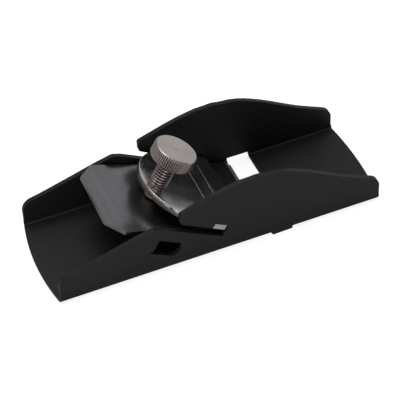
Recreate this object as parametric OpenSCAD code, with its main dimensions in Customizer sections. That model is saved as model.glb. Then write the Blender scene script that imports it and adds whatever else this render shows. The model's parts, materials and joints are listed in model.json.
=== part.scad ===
// Pocket trimming plane of pressed sheet steel: body, cutter, lever cap, thumb screw.
// X runs from the heel to the toe, Y to the left, Z up; Z is 0 on the flat the plane stands on.

/* [Body] */
// Overall length over both curved ends
body_l = 88.9; // [70:0.1:130]
// Width over the outside of the cheeks
body_w = 29.5; // [24:0.1:45]
// Sheet thickness
sheet_t = 1.2; // [0.8:0.1:2]
// Inside radius of every fold
fold_r = 0.45; // [0.2:0.05:1.5]
// How far the heel bows out past its corners
heel_bow = 1.7; // [0.2:0.1:4]
// How far the toe bows out past its corners
toe_bow = 1.1; // [0.2:0.1:4]
// Radius of the rounded ends of the cheeks
cheek_r = 3.6; // [1:0.1:6]

/* [Mouth] */
// Heel corner to the rear end of the mouth at the cheeks
mouth_x = 55.9; // [40:0.1:70]
// Length of the mouth along the sole
mouth_l = 6.3; // [3:0.1:10]
// Height of the mouth's end above the sole in the far cheek
mouth_rise = 2.1; // [1.7:0.1:3]

/* [Slot] */
// Slope of the slots and the lever cap
slot_deg = 30; // [20:0.5:40]
// Clear height of the slot
slot_h = 2.13; // [1.8:0.01:3]
// Heel corner to the lower front corner of the slot
slot_x = 42.77; // [30:0.01:60]
// Height of the lower front corner of the slot
slot_z = 5.5; // [4:0.05:8]
// Length of the notch above the slot's front end
notch_l = 4.1; // [3:0.1:6]
// Depth of the notch
notch_h = 1.37; // [0.5:0.01:2]

/* [Rest] */
// Heel corner to the foot of the lanced hole
rest_x = 24.9; // [15:0.1:40]
// Height of the foot of the lanced hole
rest_z = 6.9; // [4:0.1:12]
// Height of the tongue up the slope's square
rest_h = 4.3; // [2:0.1:6]
// Length of the lanced hole down the slope
rest_l = 6.4; // [4:0.1:9]
// How far the tongue is raised past the top of its hole
rest_lift = 0.45; // [0:0.01:1]

/* [Cutter] */
// Width of the cutter
cutter_w = 25.4; // [15:0.1:40]
// Thickness of the cutter
cutter_t = 1.0; // [0.6:0.1:2]
// Length of the cutter
cutter_l = 45; // [30:0.5:70]
// Slope of the cutter
cutter_deg = 21; // [15:0.5:30]
// Heel corner to the cutting edge
edge_x = 56.55; // [40:0.05:70]
// Length of each clipped tail corner
clip_l = 4.1; // [1:0.1:8]
// Bevel angle of the cutting edge
bevel_deg = 27; // [20:1:35]

/* [Lever cap] */
// Thickness of the lever cap
cap_t = 1.6; // [1:0.1:2.5]
// Radius of the round tail
cap_r = 14; // [13.5:0.1:18]
// Slot end to the middle of the round tail, up the slope
cap_mid = 4.85; // [3:0.05:8]
// Length of each ear
ear_l = 3.6; // [2:0.1:5]

/* [Thumb screw] */
// Thread diameter
thread_d = 4.8; // [3:0.1:6]
// Thread pitch
thread_p = 0.8; // [0.5:0.05:1.25]
// Depth of the thread
thread_h = 0.45; // [0.2:0.05:0.7]
// Head diameter
head_d = 11.3; // [8:0.1:16]
// Head height
head_h = 3.6; // [2:0.1:6]
// Lever cap to the underside of the head
head_gap = 6.9; // [2:0.1:10]
// Slot end to the screw, up the slope
screw_u = 14.2; // [8:0.1:18]
// Length of the plain point
point_l = 0.9; // [0.4:0.1:2]

/* [Hidden] */
$fn = 96;
gap = 0.03;         // slip gap at the rests, the cap and the screw
big = 200;          // larger than the plane
past = 1;           // how far a cutter of material runs past the face
arc_n = 10;         // chords in a drawn corner
mid_x = (body_l - heel_bow * 2) / 2;         // heel corner to the middle of the length
half_w = body_w / 2;
in_w = half_w - sheet_t;                     // inner face of a cheek
fold_o = fold_r + sheet_t;                   // outside radius of a fold
mouth_top = fold_o + 0.2;                    // top of the cut through the sole
mouth_in = 0.05;                             // bite into the cheeks that the stub fills again
bed_side = 0.25;                             // room beside the cutter at its seat
bed_x = mouth_x - 0.25;                      // rear edge of the mouth under the cutter
sole_top = fold_o + 0.5;                     // where the upright ends of the cheeks begin
end_in = 0.06;                               // how far they stand in from the sole's corners
end_x = body_l - heel_bow - toe_bow;         // heel corner to toe corner
heel_r = (half_w * half_w + heel_bow * heel_bow) / (2 * heel_bow);
toe_r = (half_w * half_w + toe_bow * toe_bow) / (2 * toe_bow);
bed_k = tan(cutter_deg);                     // fall of the bed
cap_v = slot_h + notch_h - gap * 2 - cap_t;  // underside of the cap above the slot's floor
cap_w = half_w - sheet_t - 0.5;              // half width of the cap between the cheeks
cap_nose = nose_u();                         // slot end to the cap's tip, down the slope
ear_u = 0.25;                                // front of an ear, up the slope
ear_y = half_w - 0.15;                       // end of an ear
rest_in = 6.4;                               // tongue's reach in from the outer face
tongue_x = 0.1;                              // front face of the tongue, down the slope
hole_r = 2.1;                                // round end of the lanced hole
bevel_l = cutter_t / tan(bevel_deg);
edge_t = 0.05;                               // flat left on the cutting edge
core_r = thread_d / 2 - thread_h;            // core of the thread
bore_r = thread_d / 2 + 0.06;                // clears the crests
tip_v = screw_tip_v();                       // end of the screw above the slot's floor
head_v = cap_v + cap_t + head_gap;           // underside of the head
cham = 0.25;                                 // chamfers of the head
ridge_n = 8;                                 // thread ridges kept in the solid, below the head

// Height of the cutter's underside over a distance from the heel corner
function bed_z(x) = (edge_x - x) * bed_k;

// How far down the slope the cap's underside comes to rest on the cutter
function nose_u() =
    (slot_z + cap_v * cos(slot_deg) - (edge_x - slot_x - cap_v * sin(slot_deg)) * bed_k
     - (cutter_t + gap) / cos(cutter_deg)) / (sin(slot_deg) - bed_k * cos(slot_deg));

// Where the screw's line meets the top of the cutter, measured up from the slot's floor
function screw_tip_v() =
    let (x0 = slot_x - screw_u * cos(slot_deg),
         z0 = slot_z + screw_u * sin(slot_deg),
         reach = thread_d / 2 - thread_h,
         top = bed_z(x0) + cutter_t / cos(cutter_deg),
         fall = cos(slot_deg) + sin(slot_deg) * bed_k)
    (top - z0 + reach * sin(slot_deg - cutter_deg) / cos(cutter_deg)) / fall + gap;

// Points of an arc about c, from angle a to angle b
function arc(c, r, a, b) = [for (i = [0 : arc_n]) let (q = a + (b - a) * i / arc_n) c + r * [cos(q), sin(q)]];

// The height of both cheeks, seen from the side, heel corner at 0
cheek = concat(
    [[-heel_bow - past, 0], [-heel_bow - past, sole_top], [end_in, sole_top], [end_in, 5.3]],
    arc([cheek_r, 5.4], cheek_r - end_in, 180, 108),
    [[5, 9.35], [10, 10.8], [15, 12.3], [20, 13.85]],
    arc([24.95, 13.35], 1.75, 110, 58),
    [[27.3, 14.35], [slot_x, slot_z], [slot_x, slot_z + slot_h / cos(slot_deg)],
     [33.2, slot_z + (slot_x - 33.2) * tan(slot_deg) + slot_h / cos(slot_deg)]],
    arc([32.95, 14.9], 1, 235, 180),
    [[31.95, 16.5]],
    arc([32.75, 16.75], 0.8, 165, 110),
    [[36.5, 18.85], [39.8, 19.95], [43.2, 20.9], [46.5, 21.6], [48.2, 21.85]],
    arc([52.1, 15.2], 6.85, 100, 72),
    [[57.5, 21.4], [59.7, 20.85], [61.5, 20.25], [63.2, 19.5], [66, 18.15], [69.4, 16.25],
     [73, 14.1], [76.5, 12.1], [80, 10.4]],
    arc([end_x - cheek_r, 5.35], cheek_r - end_in, 65, 0),
    [[end_x - end_in, sole_top], [end_x + toe_bow + past, sole_top], [end_x + toe_bow + past, 0]]);

// Moves a child drawn at the slot's front lower corner, with X down the slope, onto the body
module slope_frame() {
    translate([slot_x - mid_x, 0, slot_z]) rotate([0, slot_deg, 0]) children();
}

// A channel of the sheet: sole, two folds, two cheeks
module channel(w, r, lift) {
    translate([-big / 2, -w + r, lift]) cube([big, (w - r) * 2, big]);
    translate([-big / 2, -w, lift + r]) cube([big, w * 2, big]);
    for (s = [-1, 1])
        translate([0, s * (w - r), lift + r]) rotate([0, 90, 0]) cylinder(h = big, r = r, center = true);
}

// Side view of the cheeks pushed through the whole width
module side_block() {
    translate([-mid_x, half_w + past, 0]) rotate([90, 0, 0])
        linear_extrude(height = body_w + past * 2) polygon(cheek);
}

// Plan of the pressing: straight sides and two bowed ends
module plan_block() {
    intersection() {
        translate([heel_r - heel_bow - mid_x, 0, -past]) cylinder(h = big, r = heel_r, $fn = 360);
        translate([end_x + toe_bow - toe_r - mid_x, 0, -past]) cylinder(h = big, r = toe_r, $fn = 360);
    }
}

// Moves a child drawn at the foot of a lanced hole, with X down the slope, onto the body
module rest_frame() {
    translate([rest_x - mid_x, 0, rest_z]) rotate([0, slot_deg, 0]) children();
}

// The hole a tongue is cut from, as a prism right through both cheeks
module lanced_hole() {
    run = rest_l - hole_r;
    rest_frame() rotate([90, 0, 0]) translate([0, 0, -big / 2]) {
        translate([tongue_x - fold_o, 0, 0]) cube([run + fold_o - tongue_x, rest_h, big]);
        translate([run, hole_r, 0]) cylinder(h = big, r = hole_r);
        translate([run - past, hole_r, 0]) cube([past + hole_r * 0.6, rest_h - hole_r, big]);
    }
}

// A tongue folded in square to its cheek, s is the side
module tongue(s) {
    mid_y = half_w - fold_o;
    rest_frame() translate([tongue_x - fold_o, 0, rest_lift]) {
        translate([fold_r, s > 0 ? half_w - rest_in : fold_o - half_w, 0])
            cube([sheet_t, rest_in - fold_o, rest_h]);
        intersection() {
            translate([0, s * mid_y, 0]) difference() {
                cylinder(h = rest_h, r = fold_o);
                translate([0, 0, -past]) cylinder(h = rest_h + past * 2, r = fold_r);
            }
            translate([0, s > 0 ? mid_y : -half_w, 0]) cube([fold_o, fold_o, rest_h]);
        }
    }
}

// The mouth: across the whole sole, its rear end coined to the slope of the cutter
module mouth() {
    translate([mouth_x - mid_x, -in_w - mouth_in, -past])
        cube([mouth_l, (in_w + mouth_in) * 2, mouth_top + past]);
    translate([-mid_x, cutter_w / 2 + bed_side, 0]) rotate([90, 0, 0])
        linear_extrude(height = cutter_w + bed_side * 2)
            polygon([[bed_x, -past], [mouth_x + past, -past], [mouth_x + past, mouth_top],
                     [edge_x - (mouth_top + gap) / bed_k, mouth_top], [bed_x, bed_z(bed_x) - gap]]);
}

// The far cheek's end of the mouth, cut above the fold
module mouth_end() {
    translate([mouth_x - mid_x, in_w - fold_o, -past])
        cube([mouth_l, fold_o + sheet_t + past, mouth_rise + past]);
}

// The near cheek beside the mouth, left straight down to the ground
module mouth_stub() {
    top = fold_o + past;
    translate([mouth_x - mid_x, -in_w, 0]) rotate([90, 0, 0]) linear_extrude(height = sheet_t)
        polygon([[0, 0.9], [0.6, 0], [mouth_l - 0.4, 0.15], [mouth_l - 0.4, fold_o * 0.6],
                 [mouth_l, fold_o * 0.6], [mouth_l, top], [0, top]]);
}

module body() {
    color("dimgray") union() {
        difference() {
            intersection() {
                difference() {
                    channel(half_w, fold_o, 0);
                    channel(in_w, fold_r, sheet_t);
                }
                side_block();
                plan_block();
            }
            mouth();
            mouth_end();
            lanced_hole();
            slope_frame() translate([-notch_l, -big / 2, 0]) cube([notch_l, big, slot_h + notch_h]);
        }
        mouth_stub();
        for (s = [-1, 1]) tongue(s);
    }
}

module cutter() {
    color("silver")
    translate([edge_x - mid_x, 0, 0]) rotate([0, cutter_deg, 0])
        difference() {
            translate([-cutter_l, -cutter_w / 2, 0]) cube([cutter_l, cutter_w, cutter_t]);
            rotate([90, 0, 0]) translate([0, 0, -big / 2]) linear_extrude(height = big)
                polygon([[0, edge_t], [past, edge_t], [past, cutter_t + past],
                         [-bevel_l * (cutter_t + past - edge_t) / cutter_t, cutter_t + past]]);
            for (s = [-1, 1])
                translate([-cutter_l, s * cutter_w / 2, -past]) rotate([0, 0, 45])
                    translate([-clip_l * sqrt(0.5), -clip_l * sqrt(0.5), 0])
                        cube([clip_l * sqrt(2), clip_l * sqrt(2), cutter_t + past * 2]);
        }
}

module lever_cap() {
    color("gainsboro")
    slope_frame() translate([0, 0, cap_v]) difference() {
        union() {
            intersection() {
                translate([-cap_mid, 0, 0]) cylinder(h = cap_t, r = cap_r, $fn = 180);
                translate([-cap_mid - cap_r, -cap_w, 0]) cube([cap_r, cap_w * 2, cap_t]);
            }
            translate([-cap_mid, -cap_w, 0]) cube([cap_mid + cap_nose, cap_w * 2, cap_t]);
            translate([-ear_u - ear_l, -ear_y, 0]) cube([ear_l, ear_y * 2, cap_t]);
        }
        translate([-screw_u, 0, -past]) cylinder(h = cap_t + past * 2, r = bore_r);
    }
}

module screw_point() {
    color("goldenrod")
    slope_frame() translate([-screw_u, 0, tip_v]) rotate_extrude()
        polygon([[0, 0], [core_r - cham, 0], [core_r, cham], [core_r, point_l - gap], [0, point_l - gap]]);
}

module thumb_screw() {
    top = head_v + head_h;
    color("lightgray")
    slope_frame() translate([-screw_u, 0, 0]) {
        translate([0, 0, tip_v + point_l]) cylinder(h = head_v - tip_v - point_l, r = core_r);
        for (i = [0 : ridge_n - 1])
            translate([0, 0, head_v - (i + 1) * thread_p]) rotate_extrude()
                polygon([[0, 0], [core_r, 0], [thread_d / 2, thread_h * 0.6],
                         [thread_d / 2, thread_h * 0.75], [core_r, thread_p * 0.9], [0, thread_p * 0.9]]);
        translate([0, 0, head_v]) rotate_extrude()
            polygon([[0, 0], [head_d / 2 - cham, 0], [head_d / 2, cham], [head_d / 2, head_h - cham],
                     [head_d / 2 - cham, head_h], [0, head_h]]);
    }
}

body();
cutter();
lever_cap();
screw_point();
thumb_screw();
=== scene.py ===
import json
from math import cos, pi, radians, sin

import bmesh
import bpy
import numpy as np
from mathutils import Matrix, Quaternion, Vector


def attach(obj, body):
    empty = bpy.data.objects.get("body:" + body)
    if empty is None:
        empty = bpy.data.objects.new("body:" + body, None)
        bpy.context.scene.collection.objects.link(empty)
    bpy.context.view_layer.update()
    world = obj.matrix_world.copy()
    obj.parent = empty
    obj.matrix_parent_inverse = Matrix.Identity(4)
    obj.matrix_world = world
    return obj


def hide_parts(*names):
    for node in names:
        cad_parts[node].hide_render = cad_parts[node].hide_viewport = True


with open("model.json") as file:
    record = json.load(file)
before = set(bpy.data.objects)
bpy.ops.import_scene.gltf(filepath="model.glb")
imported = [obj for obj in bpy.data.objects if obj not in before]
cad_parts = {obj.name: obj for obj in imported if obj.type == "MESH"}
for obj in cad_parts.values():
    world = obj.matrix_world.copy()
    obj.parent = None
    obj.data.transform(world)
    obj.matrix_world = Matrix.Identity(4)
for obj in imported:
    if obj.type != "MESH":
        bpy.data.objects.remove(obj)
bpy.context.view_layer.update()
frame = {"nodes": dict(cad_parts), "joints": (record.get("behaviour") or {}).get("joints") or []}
joints = {j["name"]: j for j in frame["joints"]}
screwPoint = Vector(joints["screw_turn"]["pos_m"])
screwAxis = Vector(joints["screw_turn"]["axis"]).normalized()
mm = 0.001
print("frame loaded")


# small helpers
def newMaterial(name, colour, metallic, roughness):
    mat = bpy.data.materials.new(name)
    mat.use_nodes = True
    shader = mat.node_tree.nodes["Principled BSDF"]
    shader.inputs["Base Color"].default_value = (*colour, 1)
    shader.inputs["Metallic"].default_value = metallic
    shader.inputs["Roughness"].default_value = roughness
    return mat, mat.node_tree, shader


def addNode(tree, kind, inputs=None, **settings):
    node = tree.nodes.new("ShaderNode" + kind)
    for key, value in settings.items():
        setattr(node, key, value)
    for key, value in (inputs or {}).items():
        if isinstance(value, bpy.types.NodeSocket):
            tree.links.new(value, node.inputs[key])
        else:
            node.inputs[key].default_value = value
    return node


def objectPoint(tree, turn=(0, 0, 0), stretch=(1, 1, 1), move=(0, 0, 0)):
    # object coordinates moved, then turned, then stretched
    source = addNode(tree, "TexCoord").outputs["Object"]
    moved = addNode(tree, "Mapping", {"Vector": source, "Location": [-c for c in move]})
    turned = addNode(tree, "Mapping", {"Vector": moved.outputs[0], "Rotation": turn})
    return addNode(tree, "Mapping", {"Vector": turned.outputs[0], "Scale": stretch}).outputs[0]


def noise(tree, vector, scale, detail=4.0, rough=0.55):
    return addNode(tree, "TexNoise", {"Vector": vector, "Scale": scale, "Detail": detail,
                                      "Roughness": rough}).outputs["Fac"]


def spread(tree, value, low, high, toLow, toHigh):
    # a straight-line change of range, held at both ends
    return addNode(tree, "MapRange", {"Value": value, "From Min": low, "From Max": high,
                                      "To Min": toLow, "To Max": toHigh}).outputs[0]


def calc(tree, how, a, b):
    return addNode(tree, "Math", {0: a, 1: b}, operation=how).outputs[0]


def bump(tree, height, strength, distance, under=None):
    inputs = {"Height": height, "Strength": strength, "Distance": distance}
    if under is not None:
        inputs["Normal"] = under
    return addNode(tree, "Bump", inputs).outputs[0]


def colourBetween(tree, factor, first, second):
    ramp = addNode(tree, "ValToRGB", {"Fac": factor})
    ramp.color_ramp.elements[0].color = (*first, 1)
    ramp.color_ramp.elements[1].color = (*second, 1)
    return ramp.outputs[0]


def finishMesh(obj, sharpDeg):
    obj.data.polygons.foreach_set("use_smooth", np.ones(len(obj.data.polygons), bool))
    obj.data.set_sharp_from_angle(angle=radians(sharpDeg))


def addPiece(obj, mat, body, nodes=()):
    obj.data.materials.clear()
    obj.data.materials.append(mat)
    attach(obj, body)
    if nodes:
        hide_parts(*nodes)
    return obj


def softEdged(nodeName, name, edge, sharpDeg=24, steps=2):
    # the CAD solid merged into whole faces, with every sharp edge eased by a small round
    mesh = frame["nodes"][nodeName].data.copy()
    bm = bmesh.new()
    bm.from_mesh(mesh)
    bmesh.ops.remove_doubles(bm, verts=bm.verts, dist=2e-6)
    bmesh.ops.dissolve_limit(bm, angle_limit=radians(0.4), verts=bm.verts, edges=bm.edges)
    bm.to_mesh(mesh)
    bm.free()
    obj = bpy.data.objects.new(name, mesh)
    bpy.context.scene.collection.objects.link(obj)
    finishMesh(obj, sharpDeg)
    if edge:
        soft = obj.modifiers.new("easedEdges", "BEVEL")
        soft.width = edge
        soft.segments = steps
        soft.limit_method = "ANGLE"
        soft.angle_limit = radians(30)
        soft.harden_normals = True
        soft.use_clamp_overlap = True
    return obj


def turnedSurface(name, along, radius, point, axis, sharpDeg):
    # rows run along the axis and columns round it: a point is the axis point plus
    # height along the axis plus radius times the direction of its column's angle
    rows, columns = radius.shape
    up = Vector(axis).normalized()
    side = Vector((0, 1, 0)).cross(up).normalized()
    other = up.cross(side)
    angle = np.linspace(0, 2 * pi, columns, endpoint=False)
    spoke = np.outer(np.cos(angle), side) + np.outer(np.sin(angle), other)
    points = np.array(point) + along[:, :, None] * np.array(up) + radius[:, :, None] * spoke[None]
    index = np.arange(rows * columns).reshape(rows, columns)
    nextOne = np.roll(index, -1, axis=1)
    quads = np.stack([index[:-1], nextOne[:-1], nextOne[1:], index[1:]], -1).reshape(-1, 4)
    mesh = bpy.data.meshes.new(name)
    mesh.from_pydata(points.reshape(-1, 3).tolist(), [], quads.tolist())
    bm = bmesh.new()
    bm.from_mesh(mesh)
    bmesh.ops.remove_doubles(bm, verts=bm.verts, dist=1e-7)
    bmesh.ops.recalc_face_normals(bm, faces=bm.faces)
    bm.to_mesh(mesh)
    bm.free()
    obj = bpy.data.objects.new(name, mesh)
    bpy.context.scene.collection.objects.link(obj)
    finishMesh(obj, sharpDeg)
    return obj


# finishes
paintLook = {"dark": (0.0056, 0.0056, 0.0062), "light": (0.0088, 0.0088, 0.0095), "roughness": (0.41, 0.53),
             "shine": 0.4, "peel": 0.35 * mm, "speck": 0.09 * mm}


def makePaint():
    mat, tree, shader = newMaterial("blackPaint", paintLook["dark"], 0, paintLook["roughness"][0])
    shader.inputs["Specular IOR Level"].default_value = paintLook["shine"]
    here = objectPoint(tree)
    peel = noise(tree, here, 1 / paintLook["peel"], 2)
    speck = noise(tree, here, 1 / paintLook["speck"], 3, 0.7)
    cloud = noise(tree, here, 60, 3)
    shade = colourBetween(tree, spread(tree, calc(tree, "ADD", cloud, speck), 0.7, 1.3, 0, 1),
                          paintLook["dark"], paintLook["light"])
    tree.links.new(shade, shader.inputs["Base Color"])
    tree.links.new(spread(tree, speck, 0.3, 0.7, *paintLook["roughness"]), shader.inputs["Roughness"])
    first = bump(tree, peel, 0.9, 0.06 * mm)
    tree.links.new(bump(tree, speck, 0.8, 0.016 * mm, first), shader.inputs["Normal"])
    return mat


bladeLook = {"dark": (0.205, 0.198, 0.213), "light": (0.262, 0.253, 0.27), "roughness": (0.22, 0.31),
             "line": 0.05 * mm, "slope": 21}


def makeGroundSteel():
    # fine grinding lines lie across the blade, so they change quickly down its slope
    mat, tree, shader = newMaterial("groundSteel", bladeLook["dark"], 1, bladeLook["roughness"][0])
    turn = (0, -radians(bladeLook["slope"]), 0)
    fine = objectPoint(tree, turn, (1 / bladeLook["line"], 40, 1 / bladeLook["line"]))
    broad = objectPoint(tree, turn, (900, 25, 900))
    lines = noise(tree, fine, 1, 3, 0.6)
    bands = noise(tree, broad, 1, 2)
    cloud = noise(tree, objectPoint(tree), 110, 3)
    tone = colourBetween(tree, spread(tree, calc(tree, "ADD", lines, bands), 0.75, 1.25, 0, 1),
                         bladeLook["dark"], bladeLook["light"])
    tree.links.new(tone, shader.inputs["Base Color"])
    rough = calc(tree, "ADD", spread(tree, lines, 0.3, 0.7, *bladeLook["roughness"]),
                 spread(tree, cloud, 0.3, 0.7, -0.02, 0.05))
    tree.links.new(rough, shader.inputs["Roughness"])
    tree.links.new(bump(tree, lines, 0.18, 0.004 * mm), shader.inputs["Normal"])
    return mat


capLook = {"dark": (0.70, 0.67, 0.67), "light": (0.80, 0.77, 0.77), "tornTone": (0.13, 0.115, 0.11),
           "roughness": (0.11, 0.2), "slope": 30, "origin": (0.02 * mm, 0, 5.5 * mm),
           "top": 3.44 * mm, "shear": 2.78 * mm, "earFrom": 13.1 * mm,
           "line": 0.17 * mm, "lineAt": (-2.6 * mm, 1.5 * mm), "lineReach": 9 * mm}


def makeBrightPlate():
    # bright plating; the lower part of the cut edges is the rough break left by shearing,
    # and two plain lines are cut across the upper face
    mat, tree, shader = newMaterial("brightPlate", capLook["dark"], 1, capLook["roughness"][0])
    slope = radians(capLook["slope"])
    turn = (0, -slope, 0)
    place = objectPoint(tree, turn, move=capLook["origin"])
    parts = addNode(tree, "SeparateXYZ", {"Vector": place}).outputs
    smear = noise(tree, objectPoint(tree), 260, 4, 0.6)
    dust = spread(tree, noise(tree, objectPoint(tree), 5200, 2, 0.5), 0.66, 0.72, 0, 1)
    dust = calc(tree, "MULTIPLY", dust, spread(tree, noise(tree, objectPoint(tree), 300, 2), 0.45, 0.6, 0.1, 1))
    grain = noise(tree, objectPoint(tree, turn, (9000, 700, 9000)), 1, 3, 0.65)
    edgeNoise = spread(tree, noise(tree, objectPoint(tree), 1400, 3), 0.3, 0.7, -0.1 * mm, 0.1 * mm)
    height = calc(tree, "ADD", parts["Z"], edgeNoise)
    torn = spread(tree, height, capLook["shear"] - 0.03 * mm, capLook["shear"] + 0.03 * mm, 1, 0)
    flat = addNode(tree, "NewGeometry").outputs["Normal"]
    upward = addNode(tree, "VectorMath", {0: flat, 1: (sin(slope), 0, cos(slope))}, operation="DOT_PRODUCT")
    steep = spread(tree, addNode(tree, "Math", {0: upward.outputs["Value"]}, operation="ABSOLUTE").outputs[0],
                   0.5, 0.7, 1, 0)
    torn = calc(tree, "MULTIPLY", torn, steep)
    across = addNode(tree, "Math", {0: parts["Y"]}, operation="ABSOLUTE").outputs[0]
    notEar = spread(tree, across, capLook["earFrom"], capLook["earFrom"] + 0.3 * mm, 1, 0)
    torn = calc(tree, "MULTIPLY", torn, notEar)  # the ears stay bright
    lineSum = None
    for at in capLook["lineAt"]:
        far = addNode(tree, "Math", {0: calc(tree, "SUBTRACT", parts["X"], at)}, operation="ABSOLUTE").outputs[0]
        one = spread(tree, far, capLook["line"] * 0.4, capLook["line"] * 0.75, 1, 0)
        lineSum = one if lineSum is None else calc(tree, "MAXIMUM", lineSum, one)
    within = spread(tree, across, capLook["lineReach"], capLook["lineReach"] + 0.1 * mm, 1, 0)
    lineSum = calc(tree, "MULTIPLY", lineSum, within)
    onTop = spread(tree, parts["Z"], capLook["top"] - 0.1 * mm, capLook["top"] - 0.05 * mm, 0, 1)
    lineSum = calc(tree, "MULTIPLY", lineSum, onTop)
    worked = calc(tree, "MAXIMUM", torn, lineSum)
    rough = calc(tree, "ADD", spread(tree, smear, 0.3, 0.75, *capLook["roughness"]),
                 calc(tree, "MULTIPLY", worked, 0.3))
    tree.links.new(rough, shader.inputs["Roughness"])
    tone = colourBetween(tree, spread(tree, smear, 0.3, 0.7, 0, 1), capLook["dark"], capLook["light"])
    tone = addNode(tree, "MixRGB", {"Fac": calc(tree, "MULTIPLY", torn, 0.9), "Color1": tone,
                                    "Color2": (*capLook["tornTone"], 1)}).outputs[0]
    tree.links.new(tone, shader.inputs["Base Color"])
    first = bump(tree, grain, 0.12, 0.004 * mm)
    second = bump(tree, calc(tree, "MULTIPLY", torn, noise(tree, objectPoint(tree), 5000, 3)), 0.6, 0.05 * mm, first)
    third = bump(tree, dust, 0.9, 0.04 * mm, second)
    tree.links.new(bump(tree, calc(tree, "SUBTRACT", 0.0, lineSum), 0.9, 0.06 * mm, third), shader.inputs["Normal"])
    return mat


# the two radius spans for the thread and the knurl mark where painted shade darkens their grooves
screwLook = {"head": (0.50, 0.44, 0.425), "point": (0.72, 0.6, 0.45), "roughness": (0.2, 0.34), "ring": 0.07 * mm,
             "streak": 0.65, "headFrom": 10.36 * mm, "faceFrom": 13.6 * mm,
             "threadPaintedShade": (1.98 * mm, 2.34 * mm), "knurlPaintedShade": (5.34 * mm, 5.6 * mm)}


def makeTurnedSteel(name, colour, point, paintGrooveShade):
    # turning marks are rings round the screw's own axis: noise read from the distance to that axis
    mat, tree, shader = newMaterial(name, colour, 1, screwLook["roughness"][1])
    place = objectPoint(tree, (0, -radians(capLook["slope"]), 0), move=point)
    parts = addNode(tree, "SeparateXYZ", {"Vector": place}).outputs
    flat = addNode(tree, "CombineXYZ", {"X": parts["X"], "Y": parts["Y"]})
    reach = addNode(tree, "VectorMath", {0: flat.outputs[0]}, operation="LENGTH").outputs["Value"]
    ringPlace = addNode(tree, "CombineXYZ", {"X": calc(tree, "MULTIPLY", reach, 1 / screwLook["ring"]),
                                             "Y": calc(tree, "MULTIPLY", parts["Z"], 1 / screwLook["ring"])})
    rings = noise(tree, ringPlace.outputs[0], 1, 2, 0.6)
    cloud = noise(tree, objectPoint(tree), 420, 4, 0.6)
    low, high = [c * 0.86 for c in colour], [min(c * 1.1, 1) for c in colour]
    tone = colourBetween(tree, spread(tree, calc(tree, "ADD", rings, cloud), 0.75, 1.3, 0, 1), low, high)
    # painted shade: the bottoms of the thread and of the knurl are darkened to stand in for the shade that falls in
    # the grooves
    inHead = calc(tree, "GREATER_THAN", parts["Z"], screwLook["headFrom"])
    thread = spread(tree, reach, *screwLook["threadPaintedShade"], 0.2, 1)
    knurl = spread(tree, reach, *screwLook["knurlPaintedShade"], 0.2, 1.1)
    paintedShade = addNode(tree, "MixRGB", {"Fac": inHead, "Color1": thread, "Color2": knurl}).outputs[0]
    paintedShade = calc(tree, "MAXIMUM", paintedShade, calc(tree, "GREATER_THAN", parts["Z"], screwLook["faceFrom"]))
    if paintGrooveShade:
        tone = addNode(tree, "VectorMath", {0: tone, "Scale": paintedShade}, operation="SCALE").outputs[0]
    tree.links.new(tone, shader.inputs["Base Color"])
    tree.links.new(spread(tree, calc(tree, "ADD", rings, cloud), 0.7, 1.3, *screwLook["roughness"]),
                   shader.inputs["Roughness"])
    tree.links.new(bump(tree, rings, 0.5, 0.009 * mm), shader.inputs["Normal"])
    # the shine runs out from the axis because the marks go round it
    here = objectPoint(tree, move=point)
    aroundAxis = addNode(tree, "VectorMath", {0: tuple(screwAxis), 1: here}, operation="CROSS_PRODUCT")
    turned = addNode(tree, "VectorTransform", {"Vector": aroundAxis.outputs[0]}, vector_type="VECTOR",
                     convert_from="OBJECT", convert_to="WORLD")
    tangent = addNode(tree, "VectorMath", {0: turned.outputs[0]}, operation="NORMALIZE")
    shader.inputs["Anisotropic"].default_value = screwLook["streak"]
    tree.links.new(tangent.outputs[0], shader.inputs["Tangent"])
    return mat


def heightsAlongScrew(nodeName):
    mesh = frame["nodes"][nodeName].data
    flat = np.zeros(len(mesh.vertices) * 3)
    mesh.vertices.foreach_get("co", flat)
    away = flat.reshape(-1, 3) - np.array(screwPoint)
    high = away @ np.array(screwAxis)
    out = np.linalg.norm(away - high[:, None] * np.array(screwAxis), axis=1)
    return high, out


paint = makePaint()
groundSteel = makeGroundSteel()
brightPlate = makeBrightPlate()
# the head and thread get painted shade in their grooves; the screw end does not
nickel = makeTurnedSteel("nickelSteel", screwLook["head"], screwPoint, True)
screwEnd = makeTurnedSteel("screwSteel", screwLook["point"], screwPoint, False)
print("finishes made")


# the pressing, the cutter and the lever cap
sheetEdges = {"body": 0.2 * mm, "cutter": 0.08 * mm, "cap": 0.16 * mm, "point": 0.05 * mm}

addPiece(softEdged("body", "bodyPressing", sheetEdges["body"], 20), paint, "body", ["body"])
addPiece(softEdged("cutter", "cutterPlate", sheetEdges["cutter"]), groundSteel, "cutter", ["cutter"])
addPiece(softEdged("lever_cap", "leverCapPlate", sheetEdges["cap"]), brightPlate, "lever_cap",
         ["lever_cap"])
addPiece(softEdged("screw_point", "screwEnd", sheetEdges["point"]), screwEnd, "screw_point",
         ["screw_point"])
print("sheet pieces made")


# the knurled head
headShape = {"tall": 3.6 * mm, "chamfer": 0.3 * mm, "teeth": 60, "toothDeep": 0.34 * mm, "dish": 0.05 * mm,
             "centreMark": 0.1 * mm, "perTooth": 8, "sideRows": 9, "faceRows": 29}


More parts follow.
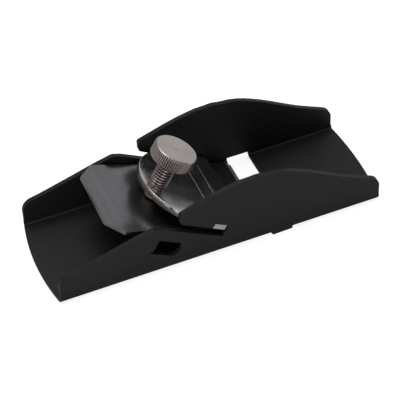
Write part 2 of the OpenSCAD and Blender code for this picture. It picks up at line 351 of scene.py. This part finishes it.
def knurledHead():
    # the outline goes from the middle of the underside out, up the side and back to the middle of the top;
    # its radius is held to the tooth radius, which falls and rises as a rounded saw round the head
    high, out = heightsAlongScrew("thumb_screw")
    topAt, wide = high.max(), out.max()
    low = topAt - headShape["tall"]
    cut, faceRows = headShape["chamfer"], headShape["faceRows"]
    radius = np.concatenate([np.linspace(0, wide - cut, 8), np.linspace(wide - cut, wide, 4)[1:],
                             np.full(headShape["sideRows"], wide), np.linspace(wide, wide - cut, 5)[1:],
                             np.linspace(wide - cut, 0, faceRows + 1)[1:]])
    height = np.concatenate([np.full(8, low), np.linspace(low, low + cut, 4)[1:],
                             np.linspace(low + cut, topAt - cut, headShape["sideRows"] + 2)[1:-1],
                             np.linspace(topAt - cut, topAt, 5)[1:], np.full(faceRows, topAt)])
    onTop = np.zeros(len(radius))
    onTop[-faceRows:] = 1
    height = height - onTop * headShape["dish"] * (1 - (radius / wide) ** 2)
    height = height - onTop * headShape["centreMark"] * np.exp(-(radius / (0.4 * mm)) ** 2)
    columns = headShape["teeth"] * headShape["perTooth"]
    angle = np.linspace(0, 2 * pi, columns, endpoint=False)
    saw = np.abs(np.sin(angle * headShape["teeth"] / 2))
    toothRadius = wide - headShape["toothDeep"] * (1 - saw ** 0.8)
    grid = np.minimum(radius[:, None], toothRadius[None])
    tall = np.repeat(height[:, None], columns, 1)
    return turnedSurface("knurledHead", tall, grid, screwPoint, screwAxis, 32)


addPiece(knurledHead(), nickel, "thumb_screw", ["thumb_screw"])
print("knurled head made")


# the thread
threadShape = {"pitch": 0.8 * mm, "core": 1.95 * mm, "crest": 2.4 * mm, "rowsPerTurn": 14, "columns": 48}


def screwThread():
    # radius is the core plus a flat-topped wave of height minus a full turn's pitch times the angle,
    # which makes one right-handed groove; it fades to the core at both ends
    high, _ = heightsAlongScrew("thumb_screw")
    low, top = high.min(), high.max() - headShape["tall"] + 0.05 * mm
    rows = int((top - low) / threadShape["pitch"] * threadShape["rowsPerTurn"])
    height = np.linspace(low, top, rows)
    angle = np.linspace(0, 2 * pi, threadShape["columns"], endpoint=False)
    phase = (height[:, None] / threadShape["pitch"] - angle[None] / (2 * pi)) % 1
    wave = np.clip(1.75 * (1 - np.abs(2 * phase - 1)) - 0.3, 0, 1)
    fade = np.clip(np.minimum(height - low, top - height) / (0.5 * mm), 0, 1)[:, None]
    radius = threadShape["core"] + (threadShape["crest"] - threadShape["core"]) * wave * fade
    middle = np.zeros((1, threadShape["columns"]))
    radius = np.concatenate([middle, radius, middle])
    tall = np.concatenate([height[:1], height, height[-1:]])
    return turnedSurface("screwThread", np.repeat(tall[:, None], threadShape["columns"], 1), radius,
                         screwPoint, screwAxis, 50)


addPiece(screwThread(), nickel, "thumb_screw")
print("thread made")


# floor, lights, camera
studio = {"floorSize": 4.0, "floorTone": 0.62, "floorLift": 0.78, "floorDrop": 0.02 * mm, "roomLight": 0.3,
          "lamps": [("topLamp", (-0.02, 0.1, 0.62), 0.42, 1.3), ("backLamp", (0.5, 0.45, 0.17), 0.36, 0.14),
                    ("sideLamp", (-0.25, -0.62, 0.2), 0.5, 1.6)]}


def makeStudio():
    half = studio["floorSize"] / 2
    mesh = bpy.data.meshes.new("floor")
    low = -studio["floorDrop"]
    corners = [(-half, -half, low), (half, -half, low), (half, half, low), (-half, half, low)]
    mesh.from_pydata(corners, [], [(0, 1, 2, 3)])
    floor = bpy.data.objects.new("floor", mesh)
    bpy.context.scene.collection.objects.link(floor)
    mat = bpy.data.materials.new("paleFloor")
    mat.use_nodes = True
    tree = mat.node_tree
    tree.nodes.clear()
    show = addNode(tree, "LightPath").outputs["Is Camera Ray"]
    cover = addNode(tree, "BsdfDiffuse", {"Color": (*(studio["floorTone"],) * 3, 1)})
    lift = addNode(tree, "Emission", {"Color": (1, 1, 1, 1),
                                      "Strength": calc(tree, "MULTIPLY", show, studio["floorLift"])})
    both = addNode(tree, "AddShader", {0: cover.outputs[0], 1: lift.outputs[0]})
    clear = addNode(tree, "BsdfTransparent")  # so that the underside can be seen from below
    under = addNode(tree, "NewGeometry").outputs["Backfacing"]
    shown = addNode(tree, "MixShader", {0: under, 1: both.outputs[0], 2: clear.outputs[0]})
    addNode(tree, "OutputMaterial", {"Surface": shown.outputs[0]})
    mesh.materials.append(mat)

    world = bpy.data.worlds.new("paleRoom")
    bpy.context.scene.world = world
    world.use_nodes = True
    tree = world.node_tree
    tree.nodes.clear()
    seen = addNode(tree, "LightPath")
    show = calc(tree, "MAXIMUM", seen.outputs["Is Camera Ray"], seen.outputs["Is Transmission Ray"])
    level = spread(tree, show, 0, 1, studio["roomLight"], 1)
    back = addNode(tree, "Background", {"Color": (1, 1, 1, 1), "Strength": level})
    addNode(tree, "OutputWorld", {"Surface": back.outputs[0]})

    for name, place, size, power in studio["lamps"]:
        lamp = bpy.data.lights.new(name, "AREA")
        lamp.shape, lamp.size, lamp.energy = "DISK", size, power
        obj = bpy.data.objects.new(name, lamp)
        obj.location = place
        obj.rotation_mode = "QUATERNION"
        obj.rotation_quaternion = Vector(place).to_track_quat("Z", "Y")
        bpy.context.scene.collection.objects.link(obj)


camera = {"place": (-100.43 * mm, -272.09 * mm, 299.0 * mm), "aim": (1.6 * mm, 4.26 * mm, 0),
          "tilt": -3.109, "lens": 146.48}


def makeCamera():
    data = bpy.data.cameras.new("camera")
    data.lens, data.sensor_width = camera["lens"], 36
    data.clip_start, data.clip_end = 0.01, 20
    obj = bpy.data.objects.new("camera", data)
    back = (Vector(camera["place"]) - Vector(camera["aim"])).normalized()
    obj.rotation_mode = "QUATERNION"
    obj.location = camera["place"]
    obj.rotation_quaternion = back.to_track_quat("Z", "Y") @ Quaternion((0, 0, 1), radians(camera["tilt"]))
    bpy.context.scene.collection.objects.link(obj)
    bpy.context.scene.camera = obj
    bpy.context.scene.view_settings.view_transform = "Standard"


makeStudio()
makeCamera()
print("studio ready")

bpy.context.view_layer.update()
